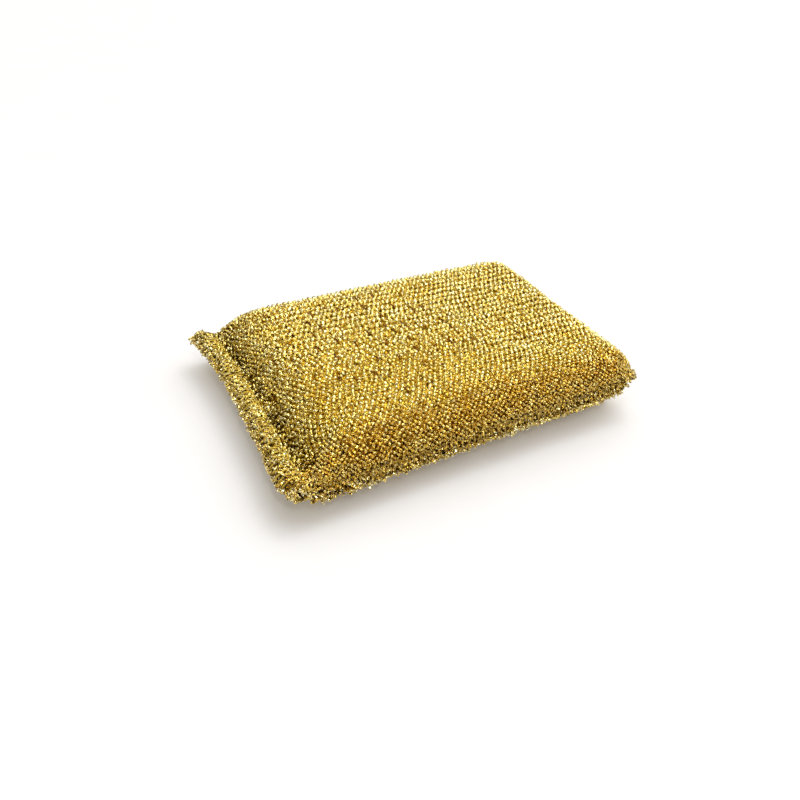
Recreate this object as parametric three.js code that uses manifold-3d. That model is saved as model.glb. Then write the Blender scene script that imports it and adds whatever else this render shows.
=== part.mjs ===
// A kitchen scouring sponge: a soft foam slab sewn into two panels of gold
// metallised knit. Millimetres, +Z up, resting on z = 0.
// -X is the end that was sewn shut last, with its wide flange and two ears.

import * as THREE from 'three';
import { mergeVertices } from 'three/addons/utils/BufferGeometryUtils.js';
import Module from 'manifold-3d';

// ---- driving dimensions ----
const LENGTH = 115;        // overall, from the ears of the closing seam to the far seam
const WIDTH = 80;          // overall, over the two side seams
const HEIGHT = 21;         // overall thickness at rest
const END_FLANGE = 6;      // reach of the closing seam past the padded body
const SIDE_FLANGE = 2.5;   // reach of the other seams past the padded body
const SEAM_Z = 8;          // height of the seam plane between the two panels
const FABRIC = 1.0;        // thickness of the knit
const GAP = 0.3;           // clearance between touching pieces
const CORNER_R = 9;        // plan corner radius of the padded body
const EDGE_R = 5.5;        // rolled edge radius of the padded body
const EAR_BOW = 2.5;       // how far the closing edge bows in between its ears
const EAR_R = 2;           // rounding of the ears
const THREAD = 0.45;       // sewing thread thickness
const STITCH = 8;          // stitch length
const NEEDLE_INSET_END = 1.6;   // needle line to the body wall, closing seam
const NEEDLE_INSET_SIDE = 0.9;  // needle line to the body wall, other seams

// ---- derived ----
const WRAP = GAP + THREAD;                    // room for the loopers outside the flange edge
const XL = -LENGTH / 2 + END_FLANGE;
const XR = LENGTH / 2 - SIDE_FLANGE;
const YB = WIDTH / 2 - SIDE_FLANGE;
const TOP_UNDER = SEAM_Z + GAP / 2;           // underside of the upper flange
const TOP_OVER = TOP_UNDER + FABRIC;          // top of the upper flange
const BOT_OVER = SEAM_Z - GAP / 2;            // top of the lower flange
const BOT_UNDER = BOT_OVER - FABRIC;          // underside of the lower flange

const wasm = await Module();
wasm.setup();

function solid(geometry) {
  const g = geometry.clone();
  g.deleteAttribute('normal');
  g.deleteAttribute('uv');
  const m = mergeVertices(g, 1e-4);
  const mesh = new wasm.Mesh({
    numProp: 3,
    vertProperties: new Float32Array(m.attributes.position.array),
    triVerts: new Uint32Array(m.index.array),
  });
  return new wasm.Manifold(mesh);
}

function geometryOf(body) {
  const mesh = body.getMesh();
  const g = new THREE.BufferGeometry();
  g.setAttribute('position', new THREE.BufferAttribute(new Float32Array(mesh.vertProperties), 3));
  g.setIndex(new THREE.BufferAttribute(new Uint32Array(mesh.triVerts), 1));
  const flat = g.toNonIndexed();
  flat.computeVertexNormals();
  return flat;
}

function roundedRect(x0, y0, x1, y1, r) {
  const s = new THREE.Shape();
  s.moveTo(x0 + r, y0);
  s.lineTo(x1 - r, y0);
  s.absarc(x1 - r, y0 + r, r, -Math.PI / 2, 0, false);
  s.lineTo(x1, y1 - r);
  s.absarc(x1 - r, y1 - r, r, 0, Math.PI / 2, false);
  s.lineTo(x0 + r, y1);
  s.absarc(x0 + r, y1 - r, r, Math.PI / 2, Math.PI, false);
  s.lineTo(x0, y0 + r);
  s.absarc(x0 + r, y0 + r, r, Math.PI, Math.PI * 1.5, false);
  return s;
}

// The padded body with rolled edges, drawn in by inset on every side
function pillow(inset) {
  const e = EDGE_R;
  const g = new THREE.ExtrudeGeometry(
    roundedRect(XL + e, -YB + e, XR - e, YB - e, CORNER_R - e),
    {
      depth: HEIGHT - 2 * e,
      bevelEnabled: true,
      bevelThickness: e - inset,
      bevelSize: e - inset,
      bevelSegments: 4,
      curveSegments: 4,
      steps: 1,
    },
  );
  g.translate(0, 0, e);
  return g;
}

// Outline of the seam allowance: rounded at the right, eared and bowed at the left
function flangeShape() {
  const x0 = -LENGTH / 2, x1 = LENGTH / 2 - WRAP, y = WIDTH / 2 - WRAP;
  const r = CORNER_R + SIDE_FLANGE - WRAP;
  const s = new THREE.Shape();
  s.moveTo(x0 + EAR_R, -y);
  s.lineTo(x1 - r, -y);
  s.absarc(x1 - r, -y + r, r, -Math.PI / 2, 0, false);
  s.lineTo(x1, y - r);
  s.absarc(x1 - r, y - r, r, 0, Math.PI / 2, false);
  s.lineTo(x0 + EAR_R, y);
  s.quadraticCurveTo(x0, y, x0, y - EAR_R);
  s.quadraticCurveTo(x0 + 2 * EAR_BOW, 0, x0, -y + EAR_R);
  s.quadraticCurveTo(x0, -y, x0 + EAR_R, -y);
  const i = FABRIC / 2;
  s.holes.push(roundedRect(XL + i, -YB + i, XR - i, YB - i, CORNER_R - i));
  return s;
}

// x of the closing edge at a given y
function closingEdge(y) {
  const x0 = -LENGTH / 2, half = WIDTH / 2 - WRAP - EAR_R;
  const t = Math.min(Math.abs(y) / half, 1);
  return x0 + EAR_BOW * (1 - t * t);
}

// A stitched line: at(s) gives the point on the needle line, the outward
// direction, and the distance from the needle line to the flange edge.
const closingLength = 9 * STITCH;
const closing = {
  length: closingLength,
  stitches: 9,
  at(s) {
    const y = s - closingLength / 2, x = XL - NEEDLE_INSET_END;
    return { x, y, nx: -1, ny: 0, reach: x - closingEdge(y) };
  },
};

const needleR = CORNER_R + NEEDLE_INSET_SIDE;
const sideStart = XL + 1.5;
const sideRun = XR - CORNER_R - sideStart;
const sideArc = needleR * Math.PI / 2;
const sideCross = 2 * (YB - CORNER_R);
const sideLength = 2 * sideRun + 2 * sideArc + sideCross;
const sides = {
  length: sideLength,
  stitches: Math.round(sideLength / STITCH),
  at(s) {
    const reach = SIDE_FLANGE - WRAP - NEEDLE_INSET_SIDE;
    const cx = XR - CORNER_R, cy = YB - CORNER_R;
    let u = s;
    if (u <= sideRun) return { x: sideStart + u, y: -YB - NEEDLE_INSET_SIDE, nx: 0, ny: -1, reach };
    u -= sideRun;
    if (u <= sideArc) {
      const a = -Math.PI / 2 + u / needleR;
      return { x: cx + needleR * Math.cos(a), y: -cy + needleR * Math.sin(a), nx: Math.cos(a), ny: Math.sin(a), reach };
    }
    u -= sideArc;
    if (u <= sideCross) return { x: XR + NEEDLE_INSET_SIDE, y: -cy + u, nx: 1, ny: 0, reach };
    u -= sideCross;
    if (u <= sideArc) {
      const a = u / needleR;
      return { x: cx + needleR * Math.cos(a), y: cy + needleR * Math.sin(a), nx: Math.cos(a), ny: Math.sin(a), reach };
    }
    u -= sideArc;
    return { x: XR - CORNER_R - u, y: YB + NEEDLE_INSET_SIDE, nx: 0, ny: 1, reach };
  },
};

function seamPoint(seam, s, out, z) {
  const p = seam.at(Math.min(Math.max(s, 0), seam.length));
  return new THREE.Vector3(p.x + p.nx * out, p.y + p.ny * out, z);
}

// A thread laid from point to point
class ThreadPath extends THREE.Curve {
  constructor(points) {
    super();
    this.points = points;
  }
  getPoint(t, target = new THREE.Vector3()) {
    const n = this.points.length - 1;
    const k = Math.min(Math.max(t, 0), 1) * n;
    const i = Math.min(Math.floor(k + 1e-9), n - 1);
    return target.copy(this.points[i]).lerp(this.points[i + 1], Math.min(Math.max(k - i, 0), 1));
  }
  getPointAt(u, target) {
    return this.getPoint(u, target);
  }
  getTangentAt(u, target = new THREE.Vector3()) {
    const n = this.points.length - 1;
    const i = Math.round(u * n);
    const d = new THREE.Vector3();
    if (i > 0) d.add(this.points[i].clone().sub(this.points[i - 1]).normalize());
    if (i < n) d.add(this.points[i + 1].clone().sub(this.points[i]).normalize());
    return target.copy(d.normalize());
  }
}

function thread(points) {
  const r = THREAD / 2;
  const section = new THREE.Shape();
  section.moveTo(r, 0);
  for (let k = 1; k < 4; k++) {
    const a = k * Math.PI / 2;
    section.lineTo(r * Math.cos(a), r * Math.sin(a));
  }
  section.closePath();
  return new THREE.ExtrudeGeometry(section, {
    steps: points.length - 1,
    extrudePath: new ThreadPath(points),
    bevelEnabled: false,
  });
}

// Thread levels above and below the flanges
const LOOPER_UP = TOP_OVER + GAP + THREAD / 2;
const LOOPER_DOWN = BOT_UNDER - GAP - THREAD / 2;
const NEEDLE_UP = LOOPER_UP + THREAD + GAP;
const NEEDLE_DOWN = LOOPER_DOWN - THREAD - GAP;
const EDGE_SPLIT = (THREAD + GAP) / 2 + 0.02;   // the two loopers meet at the edge, one above the other

// The needle thread runs over one stitch and under the next
function needlePoints(seam) {
  const pitch = seam.length / seam.stitches;
  const points = [];
  for (let i = 0; i < seam.stitches; i++) {
    const z = i % 2 === 0 ? NEEDLE_UP : NEEDLE_DOWN;
    const s0 = (i + 0.0) * pitch + (i === 0 ? 0.9 : 0), s1 = (i + 1) * pitch - (i === seam.stitches - 1 ? 0.9 : 0);
    points.push(seamPoint(seam, s0, 0, z));
    points.push(seamPoint(seam, (s0 + s1) / 2, 0, z));
    points.push(seamPoint(seam, s1, 0, z));
  }
  return points;
}

// A looper goes out to the edge, turns half-way round it, and comes back under the needle thread
function looperPoints(seam, level, edgeLevel) {
  const pitch = seam.length / seam.stitches;
  const points = [];
  for (let i = 1; i < seam.stitches; i++) {
    const s = i * pitch;
    const far = (q) => seam.at(Math.min(Math.max(q, 0), seam.length)).reach + GAP + THREAD / 2;
    points.push(seamPoint(seam, s - 0.30 * pitch, -0.15, level));
    points.push(seamPoint(seam, s - 0.10 * pitch, far(s - 0.10 * pitch), level));
    points.push(seamPoint(seam, s - 0.09 * pitch, far(s - 0.09 * pitch), edgeLevel));
    points.push(seamPoint(seam, s + 0.09 * pitch, far(s + 0.09 * pitch), edgeLevel));
    points.push(seamPoint(seam, s + 0.10 * pitch, far(s + 0.10 * pitch), level));
    points.push(seamPoint(seam, s + 0.30 * pitch, -0.15, level));
  }
  return points;
}

// Needle holes through both flanges
function needleHoles(seam) {
  const pitch = seam.length / seam.stitches;
  const side = THREAD + 2 * GAP;
  const holes = [];
  for (let i = 1; i < seam.stitches; i++) {
    const p = seam.at(i * pitch);
    const g = new THREE.BoxGeometry(side, side, 6);
    g.rotateZ(Math.atan2(p.ny, p.nx));
    g.translate(p.x, p.y, SEAM_Z);
    holes.push(g);
  }
  return holes;
}

// ---- the two cover panels ----
const skin = solid(pillow(0)).subtract(solid(pillow(FABRIC)));

function halfSpace(z0, z1) {
  const g = new THREE.BoxGeometry(LENGTH * 2, WIDTH * 2, z1 - z0);
  g.translate(0, 0, (z0 + z1) / 2);
  return solid(g);
}

function flange(z0) {
  const g = new THREE.ExtrudeGeometry(flangeShape(), { depth: FABRIC, bevelEnabled: false, curveSegments: 6 });
  g.translate(0, 0, z0);
  return solid(g);
}

let topBody = skin.intersect(halfSpace(TOP_UNDER, HEIGHT + 5)).add(flange(TOP_UNDER));
let bottomBody = skin.intersect(halfSpace(-5, BOT_OVER)).add(flange(BOT_UNDER));
for (const hole of [...needleHoles(closing), ...needleHoles(sides)]) {
  const cutter = solid(hole);
  topBody = topBody.subtract(cutter);
  bottomBody = bottomBody.subtract(cutter);
}

// ---- the assembly ----
const knit = { color: 0xb8984a, roughness: 0.35, metalness: 0.85 };
const sewing = { color: 0xd8b040, roughness: 0.5, metalness: 0.3 };
const foam = { color: 0xe6c45a, roughness: 0.95, metalness: 0 };

const sponge = new THREE.Group();
function place(name, geometry, look) {
  const mesh = new THREE.Mesh(geometry, new THREE.MeshStandardMaterial(look));
  mesh.name = name;
  sponge.add(mesh);
}

place('foam_core', pillow(FABRIC + GAP), foam);
place('bottom_cover', geometryOf(bottomBody), knit);
place('top_cover', geometryOf(topBody), knit);
place('closing_needle_thread', thread(needlePoints(closing)), sewing);
place('closing_upper_looper', thread(looperPoints(closing, LOOPER_UP, SEAM_Z + EDGE_SPLIT)), sewing);
place('closing_lower_looper', thread(looperPoints(closing, LOOPER_DOWN, SEAM_Z - EDGE_SPLIT)), sewing);
place('side_needle_thread', thread(needlePoints(sides)), sewing);
place('side_upper_looper', thread(looperPoints(sides, LOOPER_UP, SEAM_Z + EDGE_SPLIT)), sewing);
place('side_lower_looper', thread(looperPoints(sides, LOOPER_DOWN, SEAM_Z - EDGE_SPLIT)), sewing);

export default sponge;
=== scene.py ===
import math

import bpy
import numpy as np
from mathutils import Matrix, Vector


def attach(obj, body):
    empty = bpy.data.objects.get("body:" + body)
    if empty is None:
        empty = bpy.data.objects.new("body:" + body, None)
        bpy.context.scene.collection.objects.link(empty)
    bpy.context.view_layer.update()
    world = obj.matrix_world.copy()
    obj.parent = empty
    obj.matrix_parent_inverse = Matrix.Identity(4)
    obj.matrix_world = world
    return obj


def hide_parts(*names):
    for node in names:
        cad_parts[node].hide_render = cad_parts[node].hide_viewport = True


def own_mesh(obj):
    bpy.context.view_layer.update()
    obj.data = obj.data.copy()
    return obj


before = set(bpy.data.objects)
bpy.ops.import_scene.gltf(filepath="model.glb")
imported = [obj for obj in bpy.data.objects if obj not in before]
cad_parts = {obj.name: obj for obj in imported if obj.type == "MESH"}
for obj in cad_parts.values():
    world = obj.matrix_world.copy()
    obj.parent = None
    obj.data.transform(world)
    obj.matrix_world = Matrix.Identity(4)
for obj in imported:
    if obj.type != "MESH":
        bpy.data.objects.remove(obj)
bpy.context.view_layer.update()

MM = 0.001  # everything below is worked out in millimetres and put into the meshes in metres

# ---------------------------------------------------------------------------
# The pad: sizes of the two knitted panels and of the seam between them
# ---------------------------------------------------------------------------
LENGTH, WIDTH, HEIGHT = 115.0, 80.0, 20.68
END_FLANGE, SIDE_FLANGE = 6.0, 3.2      # seam allowance at the closing end and on the other three sides
SEAM_A, SEAM_B, SEAM_C, SEAM_D = 8.47, 11.42, 9.44, 9.01   # height of the seam at the four corners
BOW, EAR_BACK, EAR_FRONT = 2.28, (1.67, 1.40), (0.68, 0.23)     # how far the ears reach out along X and Y
CORNER_A, CORNER_B, CORNER_C, CORNER_D = 11.3, 15.0, 23.0, 40.0   # the higher, the squarer
CROWN, SIDE_BOW, CORNER_FALL = 0.78, 0.6, (2.13, 6.0)
HALF_SEAM = 0.55                        # from the seam's middle to each panel's middle, along the needle line
ROLL_END, ROLL_SIDE = 1.35, 0.45         # how much fatter the seam allowance is beyond it
DROOP = 48.0                            # how steeply the seam allowance of the sides hangs down, degrees
KNIT_HALF = 1.15                        # from a panel's middle to its outermost yarn

# knitted loops: wales run along Y, courses along X, every second one set over by half a leg. Where the fabric is taut
# all courses stand alike as small beads; where it is slack the legs are long and every second course lies low.
WALE, COURSE, CLOSER = 3.48, 1.48, 0.48
TAUT = dict(reach=(0.46, 0.46), depth=(0.50, 0.50), level=(0.0, -0.02), sway=(0.28, 0.28), wide=(0.58, 0.58), thick=(0.44, 0.44))
SLACK = dict(reach=(0.85, 0.50), depth=(0.50, 0.35), level=(0.03, -0.30), sway=(0.40, 0.28), wide=(0.74, 0.60), thick=(0.50, 0.40))
SAMPLES, SIDES = 16, 6

# how each edge of a panel rises from the seam: (distance inwards, share of the height)
LEFT = [(0, 0.0), (0.89, 0.015), (2.28, 0.12), (4.66, 0.4), (7.34, 0.69), (10.91, 0.91), (16.86, 1.0)]
FRONT = [(0, 0.0), (-0.7, 0.1), (-0.9, 0.26), (-0.4, 0.46), (1.03, 0.68), (3.7, 0.86), (7.72, 0.96), (13.38, 1.0)]
BACK = [(0, 0.0), (-0.7, 0.1), (-0.9, 0.26), (-0.6, 0.48), (0.58, 0.71), (3.0, 0.89), (7.16, 0.975), (13.28, 1.0)]
RIGHT = [(0, 0.0), (-0.5, 0.12), (-0.5, 0.32), (0.18, 0.56), (1.72, 0.8), (4.35, 0.94), (9.06, 1.0)]
BELOW = [(0, 0.0), (-0.2, 0.22), (0.6, 0.55), (2.6, 0.86), (6.0, 0.98), (10, 1.0)]


def unit(v):
    return v / (np.linalg.norm(v, axis=-1, keepdims=True) + 1e-12)


def smooth(x):
    x = np.clip(x, 0, 1)
    return x * x * (3 - 2 * x)


def hump(x):
    """0 at 0.0 and 1.0, 1 between."""
    return np.sin(np.pi * np.clip(x, 0, 1) ** 0.8) ** 0.9


def catmull(points, n=40):
    p = np.array(points, float)
    p = np.vstack([2 * p[0] - p[1], p, 2 * p[-1] - p[-2]])
    out = []
    for i in range(1, len(p) - 2):
        t = np.linspace(0, 1, n, endpoint=False)[:, None]
        a, b, c, d = p[i - 1], p[i], p[i + 1], p[i + 2]
        out.append(0.5 * (2 * b + (c - a) * t + (2 * a - 5 * b + 4 * c - d) * t**2 + (3 * b - a - 3 * c + d) * t**3))
    out.append(p[-2][None])
    return np.vstack(out)


def profile(points, height):
    c = catmull(points)
    s = np.r_[0, np.cumsum(np.hypot(np.diff(c[:, 0]), np.diff(c[:, 1]) * height))]
    return s, c[:, 0], np.clip(c[:, 1], 0, 1)


def run(lo_edge, lo_seam, hi_seam, hi_edge, lo, hi, height, f0, f1):
    """Across a panel: length along the fabric -> place and share of the height; f0, f1 are the flanges' lengths."""
    s0, o0, g0 = profile(lo, height)
    s1, o1, g1 = profile(hi, height)
    flat = (hi_seam - o1[-1]) - (lo_seam + o0[-1])
    S = np.r_[0, f0 + s0, f0 + s0[-1] + flat + (s1[-1] - s1[::-1]), f0 + s0[-1] + flat + s1[-1] + f1]
    V = np.r_[lo_edge, lo_seam + o0, (hi_seam - o1)[::-1], hi_edge]
    G = np.r_[0, g0, g1[::-1], 0]
    keep = np.r_[True, np.diff(S) > 1e-9]
    return S[keep], V[keep], G[keep]


def lattice(rng, shape):
    return rng.normal(0, 1, shape)


def soft_noise(rng, x, y, cell):
    """Smooth random field, about -1..1, with features about cell millimetres wide."""
    gx, gy = x / cell, y / cell
    i0, j0 = np.floor(gx).astype(int), np.floor(gy).astype(int)
    i0 -= i0.min()
    j0 -= j0.min()
    r = lattice(rng, (i0.max() + 2, j0.max() + 2))
    fx, fy = smooth(gx - np.floor(gx)), smooth(gy - np.floor(gy))
    return (r[i0, j0] * (1 - fx) * (1 - fy) + r[i0 + 1, j0] * fx * (1 - fy)
            + r[i0, j0 + 1] * (1 - fx) * fy + r[i0 + 1, j0 + 1] * fx * fy)


class Panel:
    """One knitted panel's middle surface, over fabric lengths p (along X) and q (along Y)."""

    def __init__(self, top, step=0.8):
        self.top = top
        L, W, H = LENGTH, WIDTH, HEIGHT
        x0, x1, y0, y1 = -L / 2, L / 2, -W / 2, W / 2
        height = H - 8 if top else 8
        ends = (LEFT, RIGHT) if top else (BELOW, BELOW)
        sides = (FRONT, BACK) if top else (BELOW, BELOW)
        level = SIDE_FLANGE * math.cos(math.radians(DROOP))
        sx = run(x0, x0 + END_FLANGE, x1 - level, x1, *ends, height, END_FLANGE, SIDE_FLANGE)
        sy = run(y0, y0 + level, y1 - level, y1, *sides, height, SIDE_FLANGE, SIDE_FLANGE)
        self.p = np.linspace(0, sx[0][-1], int(sx[0][-1] / step) + 1)
        self.q = np.linspace(0, sy[0][-1], int(sy[0][-1] / step) + 1)
        X, HX = np.interp(self.p, sx[0], sx[1]), np.interp(self.p, sx[0], sx[2])
        Y, HY = np.interp(self.q, sy[0], sy[1]), np.interp(self.q, sy[0], sy[2])
        X, Y = np.meshgrid(X, Y, indexing="ij")
        HX, HY = np.meshgrid(HX, HY, indexing="ij")
        HX, HY = np.maximum(HX, 1e-6), np.maximum(HY, 1e-6)
        fall = CORNER_FALL[0] + (CORNER_FALL[1] - CORNER_FALL[0]) * smooth(X / (0.3 * L))
        h = (HX**-fall + HY**-fall - 1) ** (-1 / fall)
        # the seam allowance is a soft roll, pinched flat along the needle line
        fp, fq = np.meshgrid(self.p, self.q, indexing="ij")
        roll = np.maximum.reduce([ROLL_END * hump(fp / (END_FLANGE - 0.6)), ROLL_SIDE * hump(fq / (SIDE_FLANGE - 0.3)),
                                  ROLL_SIDE * hump((self.p[-1] - fp) / (SIDE_FLANGE - 0.3)), ROLL_SIDE * hump((self.q[-1] - fq) / (SIDE_FLANGE - 0.3))])
        rim = np.minimum.reduce([fp, fq, self.p[-1] - fp, self.q[-1] - fq])
        half = HALF_SEAM * smooth(0.35 + rim / 1.2) + roll
        u, v = X / (L / 2), Y / (W / 2)
        m = np.maximum(np.abs(u), np.abs(v)) + 1e-9
        n = np.where(u > 0, np.where(v > 0, CORNER_C, CORNER_B), np.where(v > 0, CORNER_D, CORNER_A))
        f = m / ((np.abs(u) ** n + np.abs(v) ** n) ** (1 / n))
        x, y = X * f, Y * f
        # the closing edge bows in between its ears, which reach out
        x = x + BOW * (1 - np.abs(v) ** 2.2) * np.clip((-u - 0.55) / 0.45, 0, 1) ** 1.5
        corner = np.clip((np.abs(v) - 0.72) / 0.28, 0, 1) ** 2 * np.clip((-u - 0.8) / 0.2, 0, 1) ** 2
        x = x - np.where(v > 0, EAR_BACK[0], EAR_FRONT[0]) * corner
        y = y + np.where(v > 0, EAR_BACK[1], -EAR_FRONT[1]) * corner
        tip = np.clip((u - 0.6) / 0.4, 0, 1) * smooth((v + 0.1) / 0.7)   # the right-hand end bulges towards the back
        x = x + 1.8 * tip
        # the long sides pull in a little between the corners
        y = y - np.sign(v) * SIDE_BOW * (1 - u**2) * np.clip((np.abs(v) - 0.6) / 0.4, 0, 1)
        a, b = (u + 1) / 2, (v + 1) / 2
        seam = SEAM_A * (1 - a) * (1 - b) + SEAM_B * a * (1 - b) + SEAM_C * a * b + SEAM_D * (1 - a) * b
        rng = np.random.default_rng(11 if top else 12)
        if top:
            crest = H - KNIT_HALF - CROWN * (0.45 * u**2 + 0.55 * v**2)
            z = seam + half + h * (crest - seam - half)
            z = z + h * (0.22 * soft_noise(rng, x, y, 17.0) + 0.10 * soft_noise(rng, x, y, 8.0))
        else:
            z = (seam - half) * (1 - h) + KNIT_HALF * h
        side_rim = np.minimum.reduce([fq, self.p[-1] - fp, self.q[-1] - fq])
        z = z - SIDE_FLANGE * math.sin(math.radians(DROOP)) * np.clip(1 - side_rim / SIDE_FLANGE, 0, 1) * smooth((fp - 1) / 14) * (1 - 0.6 * smooth((x - 46) / 10))
        # the right-hand front corner is pulled up into a tip
        z = z + 2.2 * np.clip((u - 0.78) / 0.22, 0, 1) ** 2 * np.clip((-v - 0.7) / 0.3, 0, 1) ** 2 * (1 - h)
        self.points = np.stack([x, y, z], -1)
        self.lift = h
        self.refresh()

    def refresh(self):
        du, dv = np.gradient(self.points, axis=0), np.gradient(self.points, axis=1)
        n = unit(np.cross(du, dv))
        self.normals = n if self.top else -n

    def at(self, p, q):
        """Point, outward normal and share of the height at fabric lengths p and q."""
        gp = np.clip(p / self.p[1], 0, len(self.p) - 1.000001)
        gq = np.clip(q / self.q[1], 0, len(self.q) - 1.000001)
        i, j = gp.astype(int), gq.astype(int)
        f, g = (gp - i)[..., None], (gq - j)[..., None]

        def mix(a):
            return (a[i, j] * (1 - f) * (1 - g) + a[i + 1, j] * f * (1 - g)
                    + a[i, j + 1] * (1 - f) * g + a[i + 1, j + 1] * f * g)

        return mix(self.points), unit(mix(self.normals)), mix(self.lift[..., None])[..., 0]

    def q_at(self, p, y):
        """Fabric length q where the panel has that y, at fabric length p."""
        i = int(np.clip(round(p / self.p[1]), 0, len(self.p) - 1))
        return np.interp(y, self.points[i, :, 1], self.q)

    def p_at(self, q, x):
        j = int(np.clip(round(q / self.q[1]), 0, len(self.q) - 1))
        return np.interp(x, self.points[:, j, 0], self.p)


# ---------------------------------------------------------------------------
# Mesh making
# ---------------------------------------------------------------------------
def make_mesh(name, verts, faces, flat=False, uv=None, painted_shade=None):
    """faces is a list of integer arrays (n, k); verts in millimetres; the last argument is the painted shade of each
    vertex, 0 to 1, where it lies deep in the knit or near a seam.
    """
    me = bpy.data.meshes.new(name)
    corners = np.concatenate([f.ravel() for f in faces]).astype(np.int32)
    sizes = np.concatenate([np.full(len(f), f.shape[1]) for f in faces])
    starts = np.r_[0, np.cumsum(sizes)[:-1]].astype(np.int32)
    me.vertices.add(len(verts))
    me.loops.add(len(corners))
    me.polygons.add(len(sizes))
    me.vertices.foreach_set("co", (np.asarray(verts, float) * MM).astype(np.float32).ravel())
    me.loops.foreach_set("vertex_index", corners)
    me.polygons.foreach_set("loop_start", starts)
    me.update(calc_edges=True)
    if uv is not None:
        layer = me.uv_layers.new(name="OFBake")
        layer.data.foreach_set("uv", np.asarray(uv, np.float32).ravel())
    # painted shade, stored on the vertices for the film material
    if painted_shade is not None:
        layer = me.attributes.new(name="painted_shade", type="FLOAT", domain="POINT")
        layer.data.foreach_set("value", np.asarray(painted_shade, np.float32).ravel())
    me.validate()
    if flat:
        me.shade_flat()
    else:
        me.shade_smooth()
    o = bpy.data.objects.new(name, me)
    bpy.context.scene.collection.objects.link(o)
    return o


def ribbons(centres, normals, wide, thick, turn, sides):
    """Closed tubes of flattened section along the rows of centres (rows, n, 3): vertices, faces, uv."""
    rows, n = centres.shape[:2]
    T = unit(np.gradient(centres, axis=1))
    B = unit(np.cross(T, normals))
    N = np.cross(B, T)
    ca, sa = np.cos(turn)[..., None], np.sin(turn)[..., None]
    U, V = B * ca + N * sa, -B * sa + N * ca
    ang = 2 * np.pi * (np.arange(sides) + 0.5) / sides
    verts = (centres[:, :, None, :]
             + (wide[..., None] * np.cos(ang))[..., None] * U[:, :, None, :]
             + (thick[..., None] * np.sin(ang))[..., None] * V[:, :, None, :])
    index = np.arange(rows * n * sides).reshape(rows, n, sides)
    nxt = np.roll(index, -1, axis=2)
    quads = np.stack([index[:, :-1], nxt[:, :-1], nxt[:, 1:], index[:, 1:]], -1).reshape(-1, 4)
    caps = np.concatenate([index[:, 0, ::-1].reshape(-1, sides), index[:, -1].reshape(-1, sides)])
    # one strip of the map for each row
    band = (np.arange(rows)[:, None, None] + 0.04 + 0.92 * np.arange(sides) / sides) / rows
    v0 = np.broadcast_to(band, (rows, n - 1, sides))
    v1 = v0 + 0.92 / sides / rows
    along = 0.005 + 0.99 * np.arange(n) / (n - 1)
    u0 = np.broadcast_to(along[None, :-1, None], (rows, n - 1, sides))
    u1 = np.broadcast_to(along[None, 1:, None], (rows, n - 1, sides))
    uv = np.stack([np.stack([u0, v0], -1), np.stack([u0, v1], -1), np.stack([u1, v1], -1), np.stack([u1, v0], -1)], -2)
    uv = uv.reshape(-1, 2)
    end = np.concatenate([np.broadcast_to(np.stack([np.full(rows, e), band[:, 0, 0]], -1)[:, None, :], (rows, sides, 2)).reshape(-1, 2)
                          for e in (0.002, 0.998)])
    return verts.reshape(-1, 3), [quads, caps], np.concatenate([uv, end])


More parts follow.
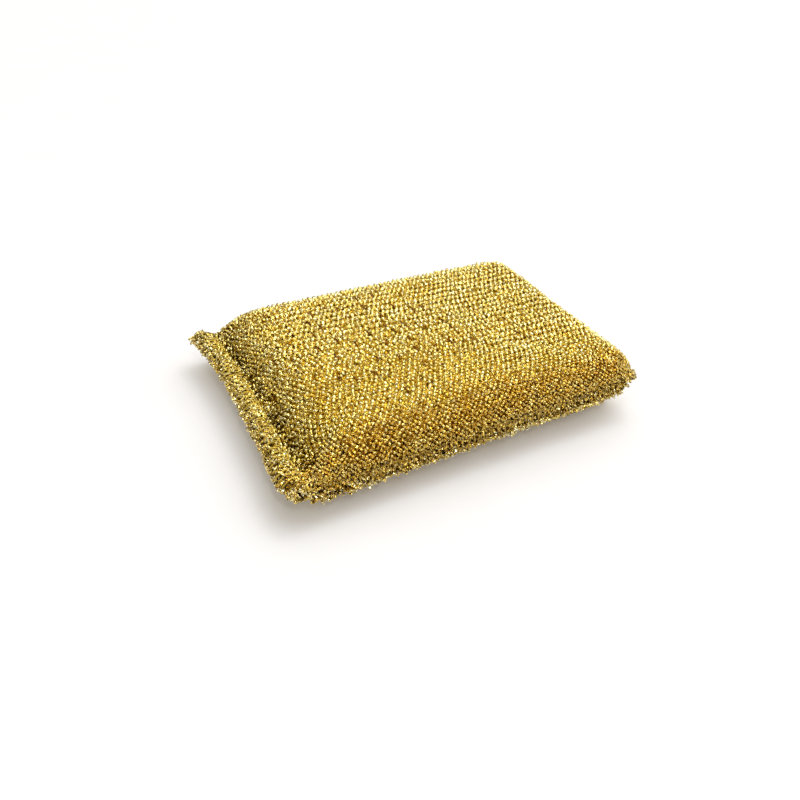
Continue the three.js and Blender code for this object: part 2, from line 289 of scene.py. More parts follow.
# ---------------------------------------------------------------------------
# The knit
# ---------------------------------------------------------------------------
def knit_rows(panel, seed, slots):
    """Centre line of every course of a panel, with its normals, widths, twist and painted shade."""
    rng = np.random.default_rng(seed)
    P, Q = panel.p[-1], panel.q[-1]
    wales = int((P - 0.8 - WALE / 4) / WALE)
    p0 = (P - (wales + 0.25) * WALE) / 2
    rows = [0.8]
    while rows[-1] < Q - 0.8:
        rows.append(rows[-1] + COURSE - CLOSER * float(smooth((26 - rows[-1]) / 10)))
    rows = np.array(rows[:-1])[:, None]           # the courses lie closer together on the front face
    courses = len(rows)
    s = np.arange(wales * SAMPLES + 1) / SAMPLES
    t = 2 * np.pi * s
    j = np.arange(courses)[:, None]
    uneven = smooth((rows - 24) / 16) * panel.top
    shift = (j % 2) * WALE / 4 + 0.3 * uneven * rng.normal(0, 1, (courses, 1))

    place = panel.at(*np.broadcast_arrays(p0 + WALE * s[None] + shift, rows))[0]
    px, py = place[..., 0], place[..., 1]
    slack = np.maximum(smooth((px - 2) / 26) * smooth((py + 34) / 20), 0.85 * smooth((py + 8) / 14) * smooth((px + 48) / 12)) * panel.top

    small = 1 - 0.13 * smooth((26 - rows) / 10)

    def of(key):
        taut, loose = (np.where(j % 2 == 0, *kind[key]) for kind in (TAUT, SLACK))
        return (taut * (1 - slack) + loose * slack) * (small if key in ("reach", "wide", "thick") else 1)

    def spread(r):
        """From one value for each leg to values all along the yarn."""
        g = 2 * s - 0.5                        # the middles of the legs are at whole numbers
        i = np.clip(np.floor(g).astype(int), 0, 2 * wales)
        f = smooth((g - i - 0.25) * 2)
        return r[:, i] * (1 - f) + r[:, i + 1] * f

    def per_leg(amount):
        return spread(rng.normal(0, amount, (courses, 2 * wales + 2)))

    x = p0 + WALE * s[None] + shift + of("sway") * np.sin(2 * t)[None] * (1 + per_leg(0.15)) + per_leg(0.08) * (1 + 0.6 * uneven)
    y = rows + of("reach") * np.cos(t)[None] * (1 + per_leg(0.06)) + per_leg(0.08) * (1 + 0.6 * uneven)
    out = of("level") - of("depth") * np.cos(2 * t)[None] * (1 + per_leg(0.10)) + per_leg(0.05)
    # here and there a leg is pulled down out of the face, mostly across the middle and left of the upper panel
    chance = (0.03 * np.exp(-(((px + 8) / 26) ** 2) - ((py - 5) / 14) ** 2) + 0.006) * panel.top
    pulled = np.zeros((courses, 2 * wales + 2))
    pulled[:, :-2] = rng.uniform(0, 1, (courses, 2 * wales)) < chance[:, SAMPLES // 4::SAMPLES // 2]
    pulled = spread(pulled)
    out = out - 0.9 * pulled
    # the pulled-down legs also get painted shade, for lying low in the knit
    painted_shade = 0.7 * pulled
    # slots where two wales stand apart: the yarn goes down and across under them
    for xb, yb, half in slots:
        near = smooth((half + 0.4 - np.abs(y - yb)) / 0.5)
        d = x - xb
        out = out - 1.0 * near * np.exp(-((d / 0.42) ** 4))
        x = x + 0.25 * np.tanh(d / 0.15) * near * np.exp(-((d / 0.9) ** 2))
    # wandering of whole wales and courses
    x, y = x + 0.25 * soft_noise(rng, x, y, 14.0), y + 0.25 * soft_noise(rng, x, y, 16.0)
    x = np.clip(x, 0.5, P - 0.5)
    y = np.clip(y, 0.5, Q - 0.5)
    centres, normals, lift = panel.at(x, y)
    centres = centres + normals * out[..., None]
    # painted shade, in patches, deep in the crease beside the closing seam and along the front needle line
    if panel.top:      # deep in the crease beside the closing seam and along the front needle line
        patch = smooth(0.55 + 0.5 * soft_noise(rng, x, y, 2.6))
        deep = np.maximum(0.85 * patch * np.exp(-(((x - END_FLANGE - 1.9) / 2.4) ** 2)) * smooth((y - SIDE_FLANGE) / 3),
                          0.9 * patch * np.exp(-(((y - SIDE_FLANGE - 0.2) / 0.7) ** 2)) * smooth((x - END_FLANGE) / 3))
        painted_shade = np.maximum(painted_shade, deep * smooth(0.5 + 1.2 * (0.25 - out)))
    # near the seams the loops are pulled about and stand up
    loose = smooth(1 - lift / 0.45)
    knots = np.arange(0, len(s) + 4, 4)
    tug = np.stack([[np.interp(np.arange(len(s)), knots, rng.normal(0, 1, len(knots))) for _ in range(courses)] for _ in range(3)], -1)
    centres = centres + 0.22 * loose[..., None] * tug + 0.18 * (loose * np.abs(tug[..., 0]))[..., None] * normals
    n = len(s)
    plump = (0.45 + 0.55 * np.sin(t) ** 2)[None]     # the legs are fuller than the turns behind them
    wide = np.clip(plump * of("wide") * (1 + per_leg(0.07) + rng.normal(0, 0.05, (courses, n))), 0.25, 0.9)
    thick = np.clip(plump * of("thick") * (1 + per_leg(0.07) + rng.normal(0, 0.08, (courses, n))), 0.2, 0.8)
    wide, thick = wide * (1 - 0.12 * loose), thick * (1 - 0.12 * loose)
    turn = per_leg(0.35) + rng.normal(0, 0.08, (courses, n)) + 0.8 * loose * tug[..., 1]
    return centres, normals, wide, thick, turn, painted_shade


def knit_pieces(name, panel, seed, slots, parts):
    made = []
    rows = knit_rows(panel, seed, slots)
    for k, own in enumerate(np.array_split(np.arange(len(rows[0])), parts)):
        v, f, uv = ribbons(*[r[own] for r in rows[:-1]], SIDES)
        made.append(make_mesh(f"{name}_{k + 1}", v, f, uv=uv, painted_shade=np.repeat(rows[-1][own].ravel(), SIDES)))
    return made


def slot_shade_strands(name, panel, slots):
    """Short dark lengths of yarn in the open slots, running across the courses: painted shade for the shadow down in
    the slots.
    """
    k = np.linspace(-1, 1, 11)[None]
    xb, yb, half = (np.array(v)[:, None] for v in zip(*slots))
    c, n, _ = panel.at(*np.broadcast_arrays(xb + 0.08 * np.sin(2.0 * k + xb), yb + half * k))
    c = c + n * (0.36 - 0.6 * k**6)[..., None]
    wide = 0.27 * (1 - 0.4 * np.abs(k) ** 3) + 0 * xb
    v, f, uv = ribbons(c, n, wide, 0.6 * wide, 0.3 * np.sin(3 * k + yb), 6)
    return make_mesh(name, v, f, uv=uv)


def ground(name, panel, outer, inner):
    """The thin backing of a knitted panel, just under its loops; painted shade darkens it where the seams shade it."""
    middle, normal = panel.points[1:-1, 1:-1], panel.normals[1:-1, 1:-1]
    nx, ny = middle.shape[:2]
    fp, fq = np.meshgrid(panel.p[1:-1], panel.q[1:-1], indexing="ij")
    rim = np.minimum.reduce([fq, panel.p[-1] - fp, panel.q[-1] - fq])
    # painted shade on the backing: darker near the seams, where they shade it
    painted_shade = np.maximum(0.65 * smooth((SIDE_FLANGE + 2.0 - rim) / 1.5), 0.4 * smooth((END_FLANGE + 4 - fp) / 3))
    a = (middle + normal * outer).reshape(-1, 3)
    b = (middle + normal * inner).reshape(-1, 3)
    i = np.arange(nx * ny).reshape(nx, ny)
    up = np.stack([i[:-1, :-1], i[1:, :-1], i[1:, 1:], i[:-1, 1:]], -1).reshape(-1, 4)
    ring = np.concatenate([i[:, 0], i[-1, 1:], i[-2::-1, -1], i[0, -2:0:-1]])
    nxt = np.roll(ring, -1)
    m = nx * ny
    if not panel.top:
        up = up[:, ::-1]
        ring, nxt = nxt, ring
    faces = [np.concatenate([up, up[:, ::-1] + m, np.stack([nxt, ring, ring + m, nxt + m], -1)])]
    return make_mesh(name, np.concatenate([a, b]), faces, painted_shade=np.concatenate([painted_shade.ravel(), painted_shade.ravel()]))


def foam(name, top, bottom, inset, n=96, m=68):
    """The foam slab inside: both panels' shapes, set in, joined round the seam line."""
    def half(panel):
        p = np.linspace(END_FLANGE + 0.6, panel.p[-1] - SIDE_FLANGE - 0.6, n)
        q = np.linspace(SIDE_FLANGE + 0.6, panel.q[-1] - SIDE_FLANGE - 0.6, m)
        c, nn, lift = panel.at(*np.meshgrid(p, q, indexing="ij"))
        return c - nn * inset

    a, b = half(top), half(bottom)
    rng = np.random.default_rng(21)
    a[..., 2] -= 0.10 * np.abs(rng.normal(0, 1, a.shape[:2]))
    b[..., 2] += 0.10 * np.abs(rng.normal(0, 1, b.shape[:2]))
    for g in (a, b):  # the rim of both halves lies just inside the seam
        for edge in (g[0], g[-1], g[:, 0], g[:, -1]):
            edge[:, :2] -= unit(edge[:, :2]) * 0.8
    i = np.arange(n * m).reshape(n, m)
    up = np.stack([i[:-1, :-1], i[1:, :-1], i[1:, 1:], i[:-1, 1:]], -1).reshape(-1, 4)
    ring = np.concatenate([i[:, 0], i[-1, 1:], i[-2::-1, -1], i[0, -2:0:-1]])
    nxt = np.roll(ring, -1)
    k = n * m
    faces = [np.concatenate([up, up[:, ::-1] + k, np.stack([nxt, ring, ring + k, nxt + k], -1)])]
    return make_mesh(name, np.concatenate([a.reshape(-1, 3), b.reshape(-1, 3)]), faces)


# ---------------------------------------------------------------------------
# Seams
# ---------------------------------------------------------------------------
def edge_line(panel, side, along, inwards):
    """Point and normal on a panel's flange: side left/right/front/back, position along it, distance in from the cut edge."""
    along, inwards = np.broadcast_arrays(np.asarray(along, float), np.asarray(inwards, float))
    w = np.clip(inwards, 0, None)
    if side in ("left", "right"):
        pr = 1.0 if side == "left" else panel.p[-1] - 1.0
        q = panel.q_at(pr, along)
        c, n, _ = panel.at(w if side == "left" else panel.p[-1] - w, q)
        over = np.array([-1.0 if side == "left" else 1.0, 0, 0])
    else:
        qr = 1.0 if side == "front" else panel.q[-1] - 1.0
        p = panel.p_at(qr, along)
        c, n, _ = panel.at(p, w if side == "front" else panel.q[-1] - w)
        over = np.array([0, -1.0 if side == "front" else 1.0, 0])
    past = np.clip(-inwards, 0, None)
    return c + past[..., None] * over, n, over


def overlock(name, panel, sides, pitch, deep, radius, proud, seed, phase=0.0):
    """One looper thread lying in slanted turns over a flange, from the needle line to round the cut edge."""
    rng = np.random.default_rng(seed)
    parts, off = [], 0
    V, F, UV = [], [[], []], []
    for side, lo, hi in sides:
        stitches = int((hi - lo) / pitch)
        tau = np.arange(stitches * 12 + 1) / 12.0
        wave = 0.5 + 0.5 * np.cos(2 * np.pi * (tau + phase))
        jit = np.interp(tau, np.arange(stitches + 2), rng.normal(0, 0.42, stitches + 2))
        along = lo + (hi - lo) * tau / stitches + 0.22 * pitch * np.sin(2 * np.pi * (tau + phase)) + jit
        inw = -0.55 + (deep + 0.55 + 0.5 * jit) * smooth(wave)
        c, n, over = edge_line(panel, side, along, inw)
        rise = proud * smooth((inw + 0.55) / 0.9) - HALF_SEAM * (1 - smooth((inw + 0.55) / 0.9))
        c = c + n * rise[:, None]
        v, f, uv = ribbons(c[None], n[None], np.full((1, len(c)), radius), np.full((1, len(c)), radius * 0.8),
                           3.0 * tau[None], 6)
        V.append(v)
        for k in (0, 1):
            F[k].append(f[k] + off)
        off += len(v)
        UV.append((uv[: len(f[0]) * 4], uv[len(f[0]) * 4:]))
    faces = [np.concatenate(F[0]), np.concatenate(F[1])]
    uv = np.concatenate([u[0] for u in UV] + [u[1] for u in UV])
    return make_mesh(name, np.concatenate(V), faces, uv=uv)


def needle(name, top, bottom, sides, pitch, inw, radius, proud, seed):
    """The needle thread: short stitches along the flange, through both panels."""
    rng = np.random.default_rng(seed)
    V, F, UV, off = [], [[], []], [], 0
    for side, lo, hi in sides:
        stitches = int((hi - lo) / pitch)
        tau = np.arange(stitches * 14 + 1) / 14.0
        wave = np.clip(1.7 * np.cos(2 * np.pi * tau), -1, 1)
        along = lo + (hi - lo) * tau / stitches
        a, na, _ = edge_line(top, side, along, np.full_like(along, inw))
        b, nb, _ = edge_line(bottom, side, along, np.full_like(along, inw))
        share = (0.5 + 0.5 * wave)[:, None]
        c = (a + na * proud) * share + (b + nb * proud) * (1 - share)
        c = c + rng.normal(0, 0.03, c.shape)
        v, f, uv = ribbons(c[None], np.broadcast_to(np.array([0.0, 0, 1]), c.shape)[None] + 0.01,
                           np.full((1, len(c)), radius), np.full((1, len(c)), radius), 0 * tau[None], 6)
        V.append(v)
        for k in (0, 1):
            F[k].append(f[k] + off)
        off += len(v)
        UV.append((uv[: len(f[0]) * 4], uv[len(f[0]) * 4:]))
    faces = [np.concatenate(F[0]), np.concatenate(F[1])]
    uv = np.concatenate([u[0] for u in UV] + [u[1] for u in UV])
    return make_mesh(name, np.concatenate(V), faces, uv=uv)


def fringe(name, panels, sides, per_mm, reach, inside, seed):
    """Small cut and pulled loops of film standing out of a flange."""
    rng = np.random.default_rng(seed)
    rows_c, rows_n = [], []
    n = 11
    for panel in panels:
        for side, lo, hi in sides:
            count = int((hi - lo) * per_mm)
            along = rng.uniform(lo, hi, count)
            inw = -0.2 + (inside + 0.2) * rng.uniform(0, 1, count) ** 1.6
            c, nn, over = edge_line(panel, side, along, inw)
            tang = unit(np.cross(nn, over[None]))
            outward = unit(over[None] * rng.uniform(0.35, 1.0, count)[:, None] + nn * rng.uniform(-0.6, 1.0, count)[:, None]
                           + tang * rng.normal(0, 0.45, count)[:, None])
            across = unit(tang + 0.6 * rng.normal(0, 1, (count, 3)))
            th = np.linspace(-0.35, np.pi + 0.35, n)
            r1 = rng.uniform(0.24, 0.48, count)
            r2 = rng.uniform(0.6, 1.0, count) * reach * np.where(inw < 0.5, 1.3, 0.75)
            open_end = rng.uniform(0, 1, count) < 0.35      # cut ends rather than whole loops
            k = np.where(open_end[:, None], np.linspace(-0.35, 0.62 * np.pi, n)[None], th[None])
            curve = (c[:, None, :]
                     + across[:, None, :] * (r1[:, None] * -np.cos(k))[..., None]
                     + outward[:, None, :] * (r2[:, None] * np.sin(k))[..., None])
            curve = curve + rng.normal(0, 0.05, curve.shape)
            rows_c.append(curve)
            rows_n.append(np.broadcast_to(unit(np.cross(across, outward))[:, None, :], curve.shape))
    c, nn = np.concatenate(rows_c), np.concatenate(rows_n)
    shape = c.shape[:2]
    wide = np.clip(rng.normal(0.31, 0.05, (shape[0], 1)) * (1 + rng.normal(0, 0.10, shape)), 0.12, 0.45)
    thick = np.clip(rng.normal(0.17, 0.03, shape), 0.08, 0.3)
    turn = rng.uniform(0, np.pi, (shape[0], 1)) + np.linspace(0, 1, shape[1])[None] * rng.normal(0, 3.0, (shape[0], 1))
    v, f, uv = ribbons(c, nn, wide, thick, turn, 4)
    v[:, 2] = np.maximum(v[:, 2], 0.15)
    return make_mesh(name, v, f, flat=True, uv=uv)


# ---------------------------------------------------------------------------
# Materials
# ---------------------------------------------------------------------------
def new_material(name):
    m = bpy.data.materials.new(name)
    m.use_nodes = True
    t = m.node_tree
    t.nodes.clear()
    out = t.nodes.new("ShaderNodeOutputMaterial")
    b = t.nodes.new("ShaderNodeBsdfPrincipled")
    t.links.new(b.outputs["BSDF"], out.inputs["Surface"])
    return m, t, b


def noise(t, scale, detail=2.0, rough=0.5, source=None):
    n = t.nodes.new("ShaderNodeTexNoise")
    n.inputs["Scale"].default_value = scale
    n.inputs["Detail"].default_value = detail
    n.inputs["Roughness"].default_value = rough
    t.links.new(source.outputs["Object"], n.inputs["Vector"])
    return n


def ramp(t, factor, stops):
    r = t.nodes.new("ShaderNodeValToRGB")
    e = r.color_ramp.elements
    e[0].position, e[0].color = stops[0][0], (*stops[0][1], 1)
    e[1].position, e[1].color = stops[-1][0], (*stops[-1][1], 1)
    for pos, col in stops[1:-1]:
        x = e.new(pos)
        x.color = (*col, 1)
    t.links.new(factor, r.inputs["Fac"])
    return r


def map_range(t, value, lo, hi):
    m = t.nodes.new("ShaderNodeMapRange")
    m.inputs["From Min"].default_value, m.inputs["From Max"].default_value = 0.3, 0.7
    m.inputs["To Min"].default_value, m.inputs["To Max"].default_value = lo, hi
    t.links.new(value, m.inputs["Value"])
    return m


def film(name, tones, rough=(0.12, 0.34), metallic=1.0, fine=1900.0, coat=0.25, crinkle=2000.0, tilted=0.8, front=(0.98, 0.865, 0.60)):
    """Metallised film: gold that shifts in tone from one stretch of yarn to the next."""
    m, t, b = new_material(name)
    co = t.nodes.new("ShaderNodeTexCoord")
    a = t.nodes.new("ShaderNodeTexVoronoi")
    a.inputs["Scale"].default_value = fine
    t.links.new(co.outputs["Object"], a.inputs["Vector"])
    c = noise(t, 140.0, 2.0, 0.5, co)
    mix = t.nodes.new("ShaderNodeMath")
    mix.operation = "MULTIPLY_ADD"
    mix.inputs[1].default_value = 0.7
    pick = t.nodes.new("ShaderNodeSeparateColor")
    t.links.new(a.outputs["Color"], pick.inputs["Color"])
    t.links.new(pick.outputs["Red"], mix.inputs[0])
    part = t.nodes.new("ShaderNodeMath")
    part.operation = "MULTIPLY"
    part.inputs[1].default_value = 0.3
    t.links.new(c.outputs["Fac"], part.inputs[0])
    t.links.new(part.outputs[0], mix.inputs[2])
    r = ramp(t, mix.outputs[0], tones)
    b.inputs["Metallic"].default_value = metallic
    rough_noise = noise(t, fine * 1.7, 1.0, 0.5, co)
    t.links.new(map_range(t, rough_noise.outputs["Fac"], *rough).outputs["Result"], b.inputs["Roughness"])
    b.inputs["Coat Roughness"].default_value = 0.12
    b.inputs["Coat IOR"].default_value = 1.6
    # the film is crinkled into small flats, each tilted its own way
    cells = t.nodes.new("ShaderNodeTexVoronoi")
    cells.inputs["Scale"].default_value = crinkle
    t.links.new(co.outputs["Object"], cells.inputs["Vector"])

    def vector(op, first, second):
        v = t.nodes.new("ShaderNodeVectorMath")
        v.operation = op
        t.links.new(first, v.inputs[0])
        if isinstance(second, tuple):
            v.inputs[1].default_value = second
        elif isinstance(second, float):
            v.inputs["Scale"].default_value = second
        elif second is not None:
            t.links.new(second, v.inputs[1])
        return v.outputs[0]

    where = t.nodes.new("ShaderNodeSeparateXYZ")
    t.links.new(co.outputs["Object"], where.inputs["Vector"])
    slope = None
    for axis, near, far in (("Y", -0.029, -0.037), ("X", -0.036, -0.046)):
        k = t.nodes.new("ShaderNodeMapRange")
        k.inputs["From Min"].default_value, k.inputs["From Max"].default_value = near, far
        k.inputs["To Min"].default_value, k.inputs["To Max"].default_value = tilted, tilted + 0.7
        t.links.new(where.outputs[axis], k.inputs["Value"])
        if slope is None:
            slope = k.outputs["Result"]
        else:
            most = t.nodes.new("ShaderNodeMath")
            most.operation = "MAXIMUM"
            t.links.new(slope, most.inputs[0])
            t.links.new(k.outputs["Result"], most.inputs[1])
            slope = most.outputs[0]
    # painted reflection: the front face is tinted warmer, where its yarns mirror one another
    front_reflection_mask = t.nodes.new("ShaderNodeMapRange")
    front_reflection_mask.inputs["From Min"].default_value, front_reflection_mask.inputs["From Max"].default_value = -0.028, -0.037
    t.links.new(where.outputs["Y"], front_reflection_mask.inputs["Value"])
    painted_reflection_tint = t.nodes.new("ShaderNodeMix")
    painted_reflection_tint.data_type, painted_reflection_tint.blend_type = "RGBA", "MULTIPLY"
    t.links.new(front_reflection_mask.outputs["Result"], painted_reflection_tint.inputs["Factor"])
    t.links.new(r.outputs["Color"], painted_reflection_tint.inputs["A"])
    painted_reflection_tint.inputs["B"].default_value = (*front, 1)
    # painted shade: the colour is mixed towards dark brown by the mesh's painted-shade value, in the creases, on
    # pulled-down legs and near the seams
    painted_shade_attr = t.nodes.new("ShaderNodeAttribute")
    painted_shade_attr.attribute_name = "painted_shade"
    shade = t.nodes.new("ShaderNodeMix")
    shade.data_type = "RGBA"
    t.links.new(painted_shade_attr.outputs["Fac"], shade.inputs["Factor"])
    t.links.new(painted_reflection_tint.outputs["Result"], shade.inputs["A"])
    shade.inputs["B"].default_value = (0.075, 0.03, 0.003, 1)
    t.links.new(shade.outputs["Result"], b.inputs["Base Color"])
    b.inputs["Coat Weight"].default_value = coat
    scaled = t.nodes.new("ShaderNodeVectorMath")
    scaled.operation = "SCALE"
    t.links.new(vector("SUBTRACT", cells.outputs["Color"], (0.5, 0.5, 0.5)), scaled.inputs[0])
    t.links.new(slope, scaled.inputs["Scale"])
    tilt = scaled.outputs[0]
    geo = t.nodes.new("ShaderNodeNewGeometry")
    t.links.new(vector("NORMALIZE", vector("ADD", geo.outputs["Normal"], tilt), None), b.inputs["Normal"])
    return m


def fibre(name, tones, rough=(0.35, 0.6), sheen=0.3):
    """Twisted polyester thread."""
    m, t, b = new_material(name)
    co = t.nodes.new("ShaderNodeTexCoord")
    a = noise(t, 1500.0, 2.0, 0.6, co)
    t.links.new(ramp(t, a.outputs["Fac"], tones).outputs["Color"], b.inputs["Base Color"])
    t.links.new(map_range(t, a.outputs["Fac"], *rough).outputs["Result"], b.inputs["Roughness"])
    b.inputs["Sheen Weight"].default_value = sheen
    b.inputs["Metallic"].default_value = 0.35
    bump = t.nodes.new("ShaderNodeBump")
    bump.inputs["Strength"].default_value = 0.5
    bump.inputs["Distance"].default_value = 0.0001
    w = t.nodes.new("ShaderNodeTexWave")
    w.inputs["Scale"].default_value = 900.0
    w.inputs["Distortion"].default_value = 2.0
    t.links.new(co.outputs["Object"], w.inputs["Vector"])
    t.links.new(w.outputs["Fac"], bump.inputs["Height"])
    t.links.new(bump.outputs["Normal"], b.inputs["Normal"])
    return m


def sponge(name):
    """Open-cell foam."""
    m, t, b = new_material(name)
    co = t.nodes.new("ShaderNodeTexCoord")
    v = t.nodes.new("ShaderNodeTexVoronoi")
    v.inputs["Scale"].default_value = 1300.0
    t.links.new(co.outputs["Object"], v.inputs["Vector"])
    r = ramp(t, v.outputs["Distance"], [(0.0, (0.20, 0.11, 0.02)), (0.35, (0.62, 0.42, 0.10)), (0.8, (0.78, 0.56, 0.17))])
    t.links.new(r.outputs["Color"], b.inputs["Base Color"])
    b.inputs["Roughness"].default_value = 0.9
    b.inputs["Subsurface Weight"].default_value = 0.1
    b.inputs["Subsurface Radius"].default_value = (0.002, 0.0015, 0.0005)
    bump = t.nodes.new("ShaderNodeBump")
    bump.inputs["Strength"].default_value = 0.8
    bump.inputs["Distance"].default_value = 0.0004
    t.links.new(v.outputs["Distance"], bump.inputs["Height"])
    t.links.new(bump.outputs["Normal"], b.inputs["Normal"])
    return m


GOLD = film("gold_film", [(0.10, (0.80, 0.51, 0.03)), (0.45, (0.96, 0.77, 0.19)), (0.80, (0.99, 0.93, 0.50))], rough=(0.10, 0.28), coat=0.35)
GOLD_EDGE = film("gold_film_cut_edge", [(0.12, (0.50, 0.29, 0.015)), (0.45, (0.95, 0.73, 0.15)), (0.80, (1.0, 0.94, 0.62))], rough=(0.06, 0.24), coat=0.5, front=(1.0, 1.0, 1.0))
# the backing stands for the inner side of the knit; its tones are a darker copy of the gold film, painted shade for the
# gaps between the loops
GOLD_BACK_SHADED = film("gold_film_backing_shaded", [(0.15, (0.52, 0.30, 0.010)), (0.50, (0.70, 0.46, 0.025)), (0.85, (0.88, 0.66, 0.10))], rough=(0.2, 0.45), coat=0.1, tilted=1.2)
# painted shade: near-black brown film for the strands down in the slots
SLOT_SHADE_FILM = film("painted_slot_shade_film", [(0.15, (0.13, 0.045, 0.003)), (0.50, (0.20, 0.075, 0.005)), (0.85, (0.30, 0.13, 0.01))], rough=(0.25, 0.5), coat=0.0)
YELLOW = fibre("yellow_thread", [(0.3, (0.66, 0.42, 0.02)), (0.55, (0.92, 0.68, 0.06)), (0.75, (1.0, 0.84, 0.20))])
# a darker copy of the yellow thread: painted shade on the side seams
YELLOW_SHADED = fibre("yellow_thread_shaded", [(0.3, (0.40, 0.24, 0.02)), (0.55, (0.66, 0.45, 0.06)), (0.75, (0.85, 0.66, 0.18))])
FOAM = sponge("open_cell_foam")

# ---------------------------------------------------------------------------
# Build
# ---------------------------------------------------------------------------
top, bottom = Panel(True), Panel(False)

slot_rng = np.random.default_rng(5)
slots = []
while len(slots) < 46:                         # spread out, most of them across the middle and left
    x, y = slot_rng.normal(-9, 19), slot_rng.normal(3, 13)
    x, y, half = top.p[-1] / 2 + x, top.q[-1] / 2 + y, slot_rng.uniform(1.3, 2.1)
    if all(math.hypot((x - u) / 3.4, (y - v) / 5.2) > 1 for u, v, _ in slots):
        slots.append((x, y, half))
top_knit = knit_pieces("top_knit", top, 31, slots, 4)
top_slot_shade = slot_shade_strands("top_slot_shade", top, slots)
bottom_knit = knit_pieces("bottom_knit", bottom, 32, [], 3)
top_ground = ground("top_backing", top, -0.42, -0.9)
bottom_ground = ground("bottom_backing", bottom, -0.42, -0.9)
pad = foam("foam_pad", top, bottom, 1.5)

CLOSING = [("left", -37.5, 37.5)]
OTHERS = [("front", -48, 50), ("right", -33, 33), ("back", -48, 50)]
closing_upper = overlock("closing_looper_upper", top, CLOSING, 1.9, 4.6, 0.17, 0.42, 41)
closing_lower = overlock("closing_looper_lower", bottom, CLOSING, 1.9, 4.6, 0.17, 0.42, 42, 0.5)
closing_needle = needle("closing_needle", top, bottom, CLOSING, 2.9, 4.6, 0.24, 0.75, 43)
side_upper = overlock("side_looper_upper", top, OTHERS, 1.9, 1.7, 0.17, 0.45, 44)
side_lower = overlock("side_looper_lower", bottom, OTHERS, 1.9, 1.7, 0.17, 0.45, 45, 0.5)
side_needle = needle("side_needle", top, bottom, OTHERS, 2.9, 1.9, 0.22, 0.65, 46)
closing_fringe = fringe("closing_fringe", (top, bottom), [("left", -40, 41)], 6.5, 0.95, 5.0, 51)
front_fringe = fringe("front_fringe", (top, bottom), [("front", -58, 58)], 5.5, 1.1, 3.2, 52)
rear_fringe = fringe("rear_fringe", (top, bottom), [("right", -40, 40), ("back", -58, 58)], 5.5, 1.1, 3.2, 53)

for o in top_knit + bottom_knit:
    o.data.materials.append(GOLD)
for o in (closing_fringe, front_fringe, rear_fringe):
    o.data.materials.append(GOLD_EDGE)
for o in (top_ground, bottom_ground):
    o.data.materials.append(GOLD_BACK_SHADED)
top_slot_shade.data.materials.append(SLOT_SHADE_FILM)
for o in (closing_upper, closing_lower, closing_needle):
    o.data.materials.append(YELLOW)
for o in (side_upper, side_lower, side_needle):
    o.data.materials.append(YELLOW_SHADED)
pad.data.materials.append(FOAM)

# ---------------------------------------------------------------------------
# What each piece rides on, flattens with and stands for
# ---------------------------------------------------------------------------
for o in top_knit + [top_ground, top_slot_shade]:
    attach(o, "upper_panel")
    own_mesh(o)
for o in bottom_knit + [bottom_ground, pad, closing_upper, closing_lower, closing_needle, side_upper, side_lower,
                        side_needle, closing_fringe, front_fringe, rear_fringe]:
    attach(o, "pad")
    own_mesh(o)
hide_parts("foam_core")
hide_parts("top_cover")
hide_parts("bottom_cover")
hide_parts("closing_upper_looper")
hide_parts("closing_lower_looper")
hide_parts("closing_needle_thread")
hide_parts("side_upper_looper")
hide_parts("side_lower_looper")
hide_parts("side_needle_thread")

# ---------------------------------------------------------------------------
# Floor, light and camera
# ---------------------------------------------------------------------------
floor_mesh = bpy.data.meshes.new("floor")
s = 6.0
floor_mesh.from_pydata([(-s, -s, 0), (s, -s, 0), (s, s, 0), (-s, s, 0)], [], [(0, 1, 2, 3)])
floor = bpy.data.objects.new("floor", floor_mesh)
bpy.context.scene.collection.objects.link(floor)
fm, ft, fb = new_material("white_table")
fco = ft.nodes.new("ShaderNodeTexCoord")
ft.links.new(ramp(ft, noise(ft, 30.0, 2.0, 0.5, fco).outputs["Fac"], [(0.3, (0.72, 0.72, 0.72)), (0.7, (0.74, 0.74, 0.74))]).outputs["Color"],
             fb.inputs["Base Color"])
fb.inputs["Roughness"].default_value = 0.6
fb.inputs["Emission Color"].default_value = (1.0, 0.975, 0.93, 1)
fb.inputs["Emission Strength"].default_value = 0.16
fb.inputs["Specular IOR Level"].default_value = 0.2
floor_mesh.materials.append(fm)

world = bpy.data.worlds.new("studio")
bpy.context.scene.world = world
world.use_nodes = True
wt = world.node_tree
wt.nodes.clear()
wout = wt.nodes.new("ShaderNodeOutputWorld")
bg = wt.nodes.new("ShaderNodeBackground")
bg.inputs["Color"].default_value = (0.985, 1.0, 1.04, 1)
wco = wt.nodes.new("ShaderNodeTexCoord")
KEY = Vector((0.55, 0.32, 1.0)).normalized()


def wmath(op, a, b):
    m = wt.nodes.new("ShaderNodeMath")
    m.operation = op
    for k, x in enumerate((a, b)):
        if isinstance(x, (int, float)):
            m.inputs[k].default_value = x
        else:
            wt.links.new(x, m.inputs[k])
    return m.outputs[0]


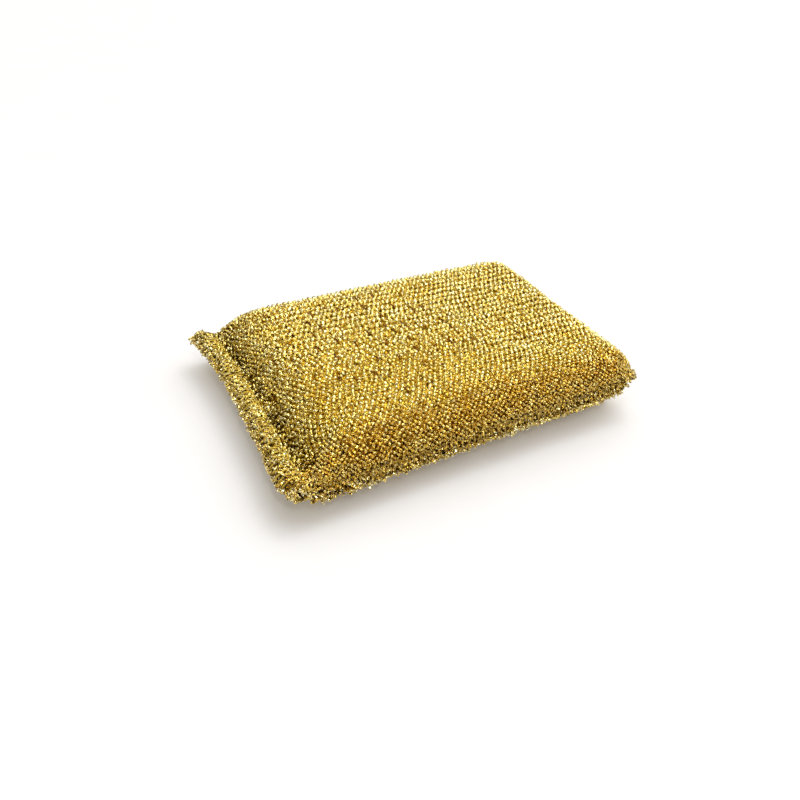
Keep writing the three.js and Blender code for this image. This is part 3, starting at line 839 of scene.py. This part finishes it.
def lobe(direction, power, strength):
    """Light from one direction of the sky, narrower with a higher power."""
    d = wt.nodes.new("ShaderNodeVectorMath")
    d.operation = "DOT_PRODUCT"
    wt.links.new(wco.outputs["Generated"], d.inputs[0])
    d.inputs[1].default_value = Vector(direction).normalized()
    return wmath("MULTIPLY", wmath("POWER", wmath("MAXIMUM", d.outputs["Value"], 0.0), power), strength)


total = lobe(KEY, 5.0, 3.24)
for lamp in (lobe(KEY, 110.0, 4.5), lobe((-0.75, -0.25, 0.6), 220.0, 10.0), lobe((0.75, -0.5, 0.5), 220.0, 5.0), lobe((-0.1, -0.6, 0.9), 500.0, 32.0), lobe((-0.45, 0.65, 0.6), 150.0, 2.0)):
    total = wmath("ADD", total, lamp)
wt.links.new(total, bg.inputs["Strength"])
fill = wt.nodes.new("ShaderNodeBackground")
fill.inputs["Color"].default_value = (1.0, 0.81, 0.54, 1)
fill.inputs["Strength"].default_value = 0.20
both = wt.nodes.new("ShaderNodeAddShader")
wt.links.new(bg.outputs[0], both.inputs[0])
wt.links.new(fill.outputs[0], both.inputs[1])
wt.links.new(both.outputs[0], wout.inputs["Surface"])


AZ, EL, DIST, FOCAL, CX, CY, ROLL = -31.264, 33.653, 217.554, 695.1, 414.34, 359.46, -3.893
a, e, r = math.radians(AZ), math.radians(EL), math.radians(ROLL)
back = Vector((math.sin(a) * math.cos(e), -math.cos(a) * math.cos(e), math.sin(e)))
right = Vector((math.cos(a), math.sin(a), 0))
up = back.cross(right)
right, up = right * math.cos(r) - up * math.sin(r), right * math.sin(r) + up * math.cos(r)
cam_data = bpy.data.cameras.new("camera")
cam_data.sensor_width = 36.0
cam_data.lens = FOCAL * 36.0 / 800.0
cam_data.shift_x = (400 - CX) / 800.0
cam_data.shift_y = (CY - 400) / 800.0
cam_data.clip_start, cam_data.clip_end = 0.005, 50
cam = bpy.data.objects.new("camera", cam_data)
place = (back * DIST + Vector((0, 0, 10.0))) * MM
cam.matrix_world = Matrix(((right.x, up.x, back.x, place.x), (right.y, up.y, back.y, place.y),
                           (right.z, up.z, back.z, place.z), (0, 0, 0, 1)))
bpy.context.scene.collection.objects.link(cam)
bpy.context.scene.camera = cam
bpy.context.scene.view_settings.view_transform = "Standard"

bpy.context.view_layer.update()
